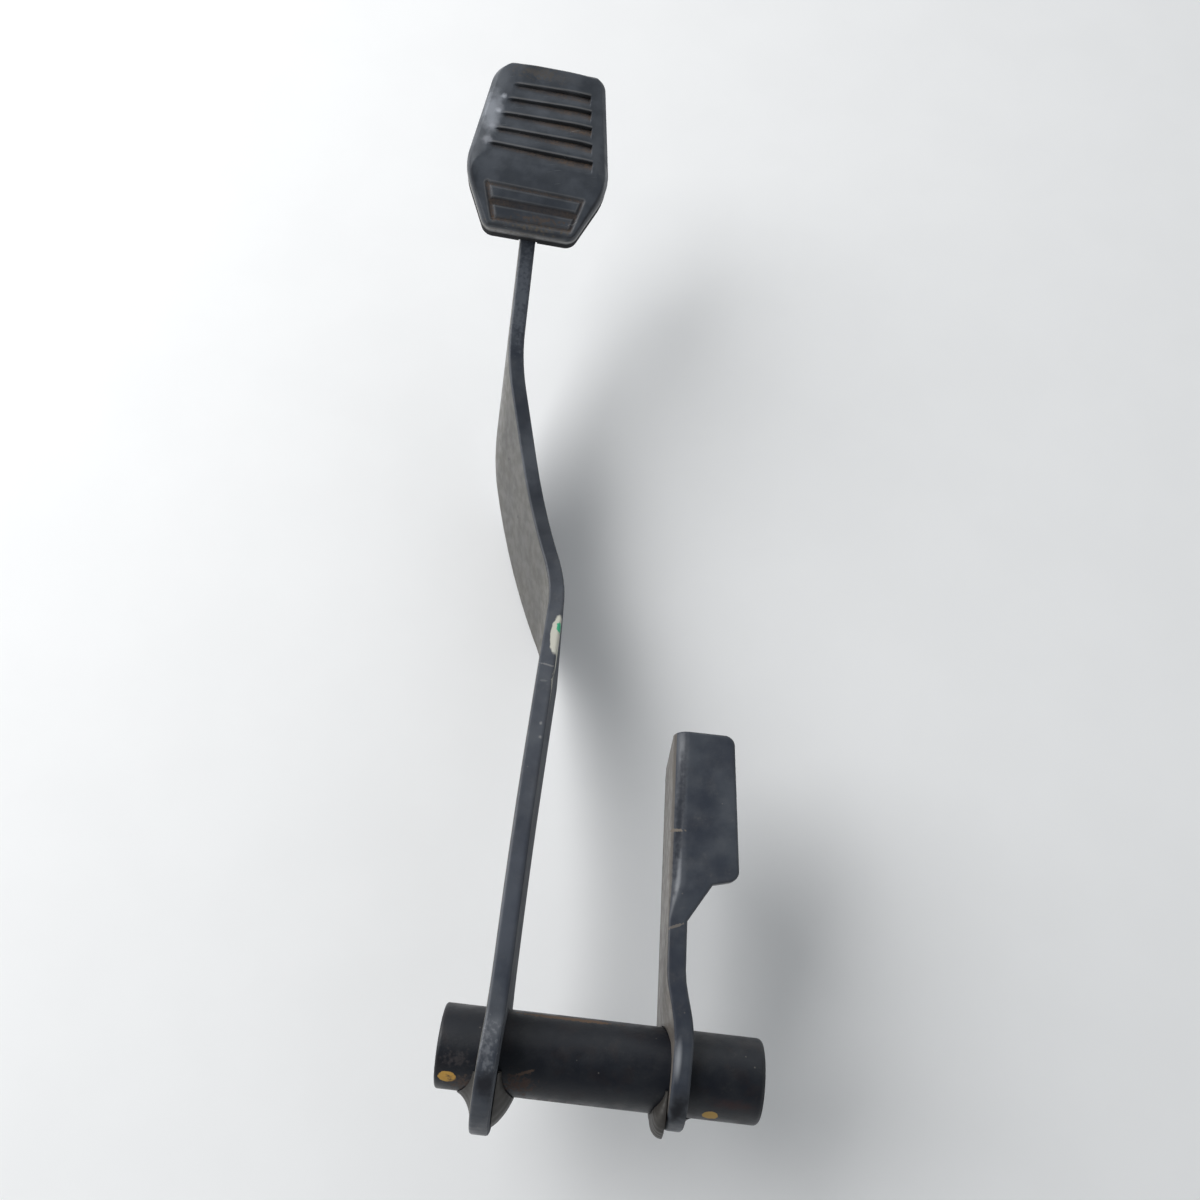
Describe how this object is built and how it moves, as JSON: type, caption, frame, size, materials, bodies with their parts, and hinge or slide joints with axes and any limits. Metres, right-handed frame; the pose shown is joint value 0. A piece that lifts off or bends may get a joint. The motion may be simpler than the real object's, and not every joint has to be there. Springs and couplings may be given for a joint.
{
  "type": "car pedal",
  "caption": "Welded steel pedal: a sideways-pressed flat arm with a ribbed rubber pad and a short flanged lever on a cross tube, bushed to swing on a pivot bolt.",
  "frame": {"origin": "middle of the pivot axis, at the centre of the cross tube", "axes": "+X along the pivot toward the lever side, +Y from the pivot toward the pad, +Z toward the driver"},
  "size_m": [0.1385, 0.3818, 0.0976],
  "materials": {
    "painted_steel": "worn satin",
    "painted_weld": "rough, rusty",
    "bare_steel": "turned",
    "black_rubber": "worn matte",
    "nylon": "moulded"
  },
  "bodies": {
    "pedal": {"pedal_arm": "painted_steel", "cross_tube": "painted_steel", "side_lever": "painted_steel", "pad_plate": "painted_steel", "pad_rubber": "black_rubber", "pivot_bush_left": "nylon", "pivot_bush_right": "nylon", "arm_weld_left": "painted_weld", "arm_weld_right": "painted_weld", "lever_weld_left": "painted_weld", "lever_weld_right": "painted_weld", "pad_weld_left": "painted_weld", "pad_weld_right": "painted_weld"},
    "sleeve": {"pivot_sleeve": "bare_steel"}
  },
  "joints": [
    {"name": "sleeve_spin", "type": "hinge", "parent": "pedal", "child": "sleeve", "pos_m": [0, 0, 0], "axis": [1, 0, 0], "continuous": true}
  ]
}
